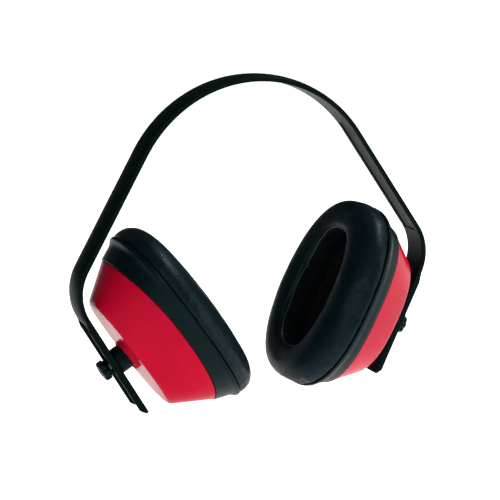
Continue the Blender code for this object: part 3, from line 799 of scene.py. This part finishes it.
# ---------------------------------------------------------------- materials
class Finish:
    """A Principled material whose colour, roughness and relief vary procedurally."""

    def __init__(self, name, roughness, metallic=0.0, **sockets):
        self.material = bpy.data.materials.new(name)
        self.material.use_nodes = True
        self.tree = self.material.node_tree
        self.shader = self.tree.nodes["Principled BSDF"]
        self.shader.inputs["Roughness"].default_value = roughness
        self.shader.inputs["Metallic"].default_value = metallic
        for socket, value in sockets.items():
            self.shader.inputs[socket.replace("_", " ")].default_value = value
        self.place = self.tree.nodes.new("ShaderNodeTexCoord").outputs["Object"]

    def node(self, kind, **inputs):
        node = self.tree.nodes.new(kind)
        for socket, value in inputs.items():
            node.inputs[socket.replace("_", " ")].default_value = value
        return node

    def link(self, output, target):
        self.tree.links.new(output, target)

    def noise(self, size, detail=4.0):
        """Cloudy noise with features of that size, in metres."""
        node = self.node("ShaderNodeTexNoise", Scale=1.0 / size, Detail=detail)
        self.link(self.place, node.inputs["Vector"])
        return node.outputs["Fac"]

    def cells(self, size, feature="F1"):
        node = self.node("ShaderNodeTexVoronoi", Scale=1.0 / size)
        node.feature = feature
        self.link(self.place, node.inputs["Vector"])
        return node.outputs["Distance"]

    def vary_colour(self, pattern, dark, light):
        ramp = self.tree.nodes.new("ShaderNodeValToRGB")
        ramp.color_ramp.elements[0].position = 0.3
        ramp.color_ramp.elements[1].position = 0.7
        ramp.color_ramp.elements[0].color = (*dark, 1.0)
        ramp.color_ramp.elements[1].color = (*light, 1.0)
        self.link(pattern, ramp.inputs["Fac"])
        self.link(ramp.outputs["Color"], self.shader.inputs["Base Color"])

    def vary_roughness(self, pattern, low, high):
        spread_out = self.node("ShaderNodeMapRange", From_Min=0.3, From_Max=0.7,
                               To_Min=low, To_Max=high)
        self.link(pattern, spread_out.inputs["Value"])
        self.link(spread_out.outputs["Result"], self.shader.inputs["Roughness"])

    def relief(self, pattern, height):
        """Adds bumps; a later call lies on top of an earlier one."""
        bump = self.node("ShaderNodeBump", Strength=1.0, Distance=height)
        self.link(pattern, bump.inputs["Height"])
        normal = self.shader.inputs["Normal"]
        if normal.is_linked:
            self.link(normal.links[0].from_socket, bump.inputs["Normal"])
        self.link(bump.outputs["Normal"], normal)


COOL = (0.55, 0.92, 1.0, 1.0)        # the black surfaces' slightly cold shine


def band_plastic():
    finish = Finish("band_plastic", 0.42, Specular_IOR_Level=0.03, Specular_Tint=COOL)
    finish.vary_colour(finish.noise(9.0 * MM), (0.001, 0.0035, 0.003), (0.002, 0.006, 0.005))
    finish.vary_roughness(finish.noise(3.0 * MM), 0.36, 0.44)
    finish.relief(finish.noise(0.5 * MM, 2.0), 0.004 * MM)
    finish.relief(finish.noise(14.0 * MM), 0.04 * MM)
    return finish.material


def black_plastic():
    finish = Finish("black_plastic", 0.42, Specular_IOR_Level=0.07, Specular_Tint=COOL)
    finish.vary_colour(finish.noise(7.0 * MM), (0.001, 0.0045, 0.0055), (0.002, 0.0075, 0.0085))
    finish.vary_roughness(finish.noise(2.5 * MM), 0.32, 0.43)
    finish.relief(finish.cells(0.6 * MM), 0.01 * MM)
    finish.relief(finish.noise(11.0 * MM), 0.05 * MM)
    return finish.material


def red_plastic():
    finish = Finish("red_plastic", 0.24, Specular_IOR_Level=0.03)
    finish.vary_colour(finish.noise(16.0 * MM), (0.40, 0.002, 0.019), (0.44, 0.003, 0.023))
    finish.vary_roughness(finish.noise(9.0 * MM), 0.2, 0.28)
    finish.relief(finish.noise(18.0 * MM, 1.0), 0.01 * MM)
    return finish.material


def vinyl():
    finish = Finish("grained_vinyl", 0.38, Specular_IOR_Level=0.11, Specular_Tint=COOL)
    finish.vary_colour(finish.cells(0.8 * MM), (0.002, 0.007, 0.010), (0.001, 0.004, 0.006))
    finish.vary_roughness(finish.noise(1.6 * MM), 0.34, 0.52)
    finish.relief(finish.noise(5.0 * MM), 0.1 * MM)
    finish.relief(finish.cells(0.8 * MM, "SMOOTH_F1"), 0.12 * MM)
    return finish.material


# The cushion's own vinyl, made darker and duller for the walls of the ear opening: painted shade.
def opening_painted_shade():
    finish = Finish("opening_painted_shade", 0.6, Specular_IOR_Level=0.06)
    finish.vary_colour(finish.noise(1.2 * MM), (0.001, 0.002, 0.003), (0.003, 0.005, 0.006))
    finish.vary_roughness(finish.noise(1.6 * MM), 0.5, 0.65)
    finish.relief(finish.cells(0.8 * MM, "SMOOTH_F1"), 0.08 * MM)
    return finish.material


# The bead's vinyl, lighter in colour than the cushion's so that the seam reads as a thin light line (painted
# highlight), and glossier.
def seam_painted_highlight():
    finish = Finish("seam_painted_highlight", 0.3, Specular_IOR_Level=0.5)
    finish.vary_colour(finish.noise(2.0 * MM), (0.020, 0.032, 0.036), (0.028, 0.044, 0.050))
    finish.vary_roughness(finish.noise(1.0 * MM), 0.26, 0.36)
    finish.relief(finish.noise(0.8 * MM), 0.02 * MM)
    return finish.material


def foam():
    finish = Finish("open_cell_foam", 0.95, Specular_IOR_Level=0.1)
    finish.vary_colour(finish.cells(0.9 * MM), (0.001, 0.001, 0.002), (0.006, 0.006, 0.007))
    finish.vary_roughness(finish.noise(2.0 * MM), 0.9, 1.0)
    finish.relief(finish.cells(0.9 * MM), 0.5 * MM)
    return finish.material


def zinc_plate():
    finish = Finish("zinc_plate", 0.32, metallic=1.0)
    finish.vary_colour(finish.noise(1.5 * MM), (0.50, 0.50, 0.52), (0.66, 0.66, 0.67))
    finish.vary_roughness(finish.noise(0.8 * MM), 0.25, 0.4)
    finish.relief(finish.noise(0.2 * MM), 0.01 * MM)
    return finish.material


def natural_plastic():
    finish = Finish("natural_plastic", 0.45, Subsurface_Weight=0.05)
    finish.vary_colour(finish.noise(6.0 * MM), (0.70, 0.69, 0.65), (0.78, 0.77, 0.74))
    finish.vary_roughness(finish.noise(2.0 * MM), 0.4, 0.52)
    finish.relief(finish.noise(0.4 * MM), 0.01 * MM)
    return finish.material


def floor_finish():
    finish = Finish("pale_floor", 0.6, Emission_Color=(1.0, 1.0, 1.0, 1.0),
                    Emission_Strength=1.0)
    finish.vary_colour(finish.noise(400.0 * MM), (0.90, 0.90, 0.90), (0.92, 0.92, 0.92))
    return finish.material


# ---------------------------------------------------------------- studio
CAMERA_ANGLES = (-22.8, 12.9, -2.4)          # azimuth, elevation and roll in degrees
CAMERA_TARGET = (-1.8 * MM, 0.0, 75.0 * MM)
CAMERA_DISTANCE = 803.5 * MM
CAMERA_LENS = 112.5
LIGHTS = {                                   # place, size and power
    "overhead": ((0.7, -0.1, 1.2), (0.5, 0.4), 16.0),
    "left_box": ((-1.0, -1.3, 0.8), (0.7, 0.8), 9.0),
    "right_box": ((1.3, -0.9, 0.5), (0.4, 0.8), 8.0),
}
LIGHTS_TARGET = Vector((0.0, 0.0, 0.08))
FLOOR_SIZE = 40.0
FLOOR_DROP = 20.0 * MM      # room for the cups when they are slid down to their lowest
WORLD_COLOUR = (0.8, 0.93, 1.0, 1.0)
WORLD_STRENGTH = 0.07


def camera():
    azimuth, elevation, roll = (math.radians(angle) for angle in CAMERA_ANGLES)
    target = Vector(CAMERA_TARGET)
    back = Vector((math.sin(azimuth) * math.cos(elevation),
                   -math.cos(azimuth) * math.cos(elevation), math.sin(elevation)))
    level_right = Vector((math.cos(azimuth), math.sin(azimuth), 0.0))
    level_up = back.cross(level_right)
    right = level_right * math.cos(roll) + level_up * math.sin(roll)
    up = level_up * math.cos(roll) - level_right * math.sin(roll)
    data = bpy.data.cameras.new("camera")
    data.sensor_width = 36.0
    data.lens = CAMERA_LENS
    data.clip_start = 0.05
    obj = bpy.data.objects.new("camera", data)
    axes = Matrix((right, up, back)).transposed().to_4x4()
    obj.matrix_world = Matrix.Translation(target + back * CAMERA_DISTANCE) @ axes
    bpy.context.scene.collection.objects.link(obj)
    bpy.context.scene.camera = obj


def soft_light(name, place, size, power):
    data = bpy.data.lights.new(name, "AREA")
    data.shape = "RECTANGLE"
    data.size, data.size_y = size
    data.energy = power
    obj = bpy.data.objects.new(name, data)
    direction = LIGHTS_TARGET - Vector(place)
    obj.rotation_euler = direction.to_track_quat("-Z", "Y").to_euler()
    obj.location = place
    bpy.context.scene.collection.objects.link(obj)


def studio():
    camera()
    bm = bmesh.new()
    bmesh.ops.create_grid(bm, x_segments=8, y_segments=8, size=FLOOR_SIZE)
    floor = new_object("floor", bm)
    floor.location.z = cad_box[0].z - FLOOR_DROP
    floor.data.materials.append(floor_finish())
    for name, (place, size, power) in LIGHTS.items():
        soft_light(name, place, size, power)
    world = bpy.data.worlds.new("studio")
    world.use_nodes = True
    background = world.node_tree.nodes["Background"]
    background.inputs["Color"].default_value = WORLD_COLOUR
    background.inputs["Strength"].default_value = WORLD_STRENGTH
    bpy.context.scene.world = world
    bpy.context.scene.view_settings.view_transform = "Standard"


# ---------------------------------------------------------------- assembly
def repaint(material, *nodes):
    for name in nodes:
        obj = frame["nodes"][name]
        obj.data.materials.clear()
        obj.data.materials.append(material)


def main():
    black = black_plastic()
    red = red_plastic()
    steel = zinc_plate()
    white = natural_plastic()
    liner = foam()
    studio()
    headband(band_plastic())
    for prefix in SIDES:
        adjuster_knob(prefix, black)
        slider_collar(prefix, black)
        cup_shell(prefix, red)
        rim_ring(prefix, black)
        foam_liner(prefix, liner)
        repaint(steel, prefix + "_clamp_stud", prefix + "_ball_stem")
        repaint(white, prefix + "_socket_cap")
        repaint(black, prefix + "_cushion_plate")
    ear_cushions(vinyl(), opening_painted_shade(), seam_painted_highlight())


main()
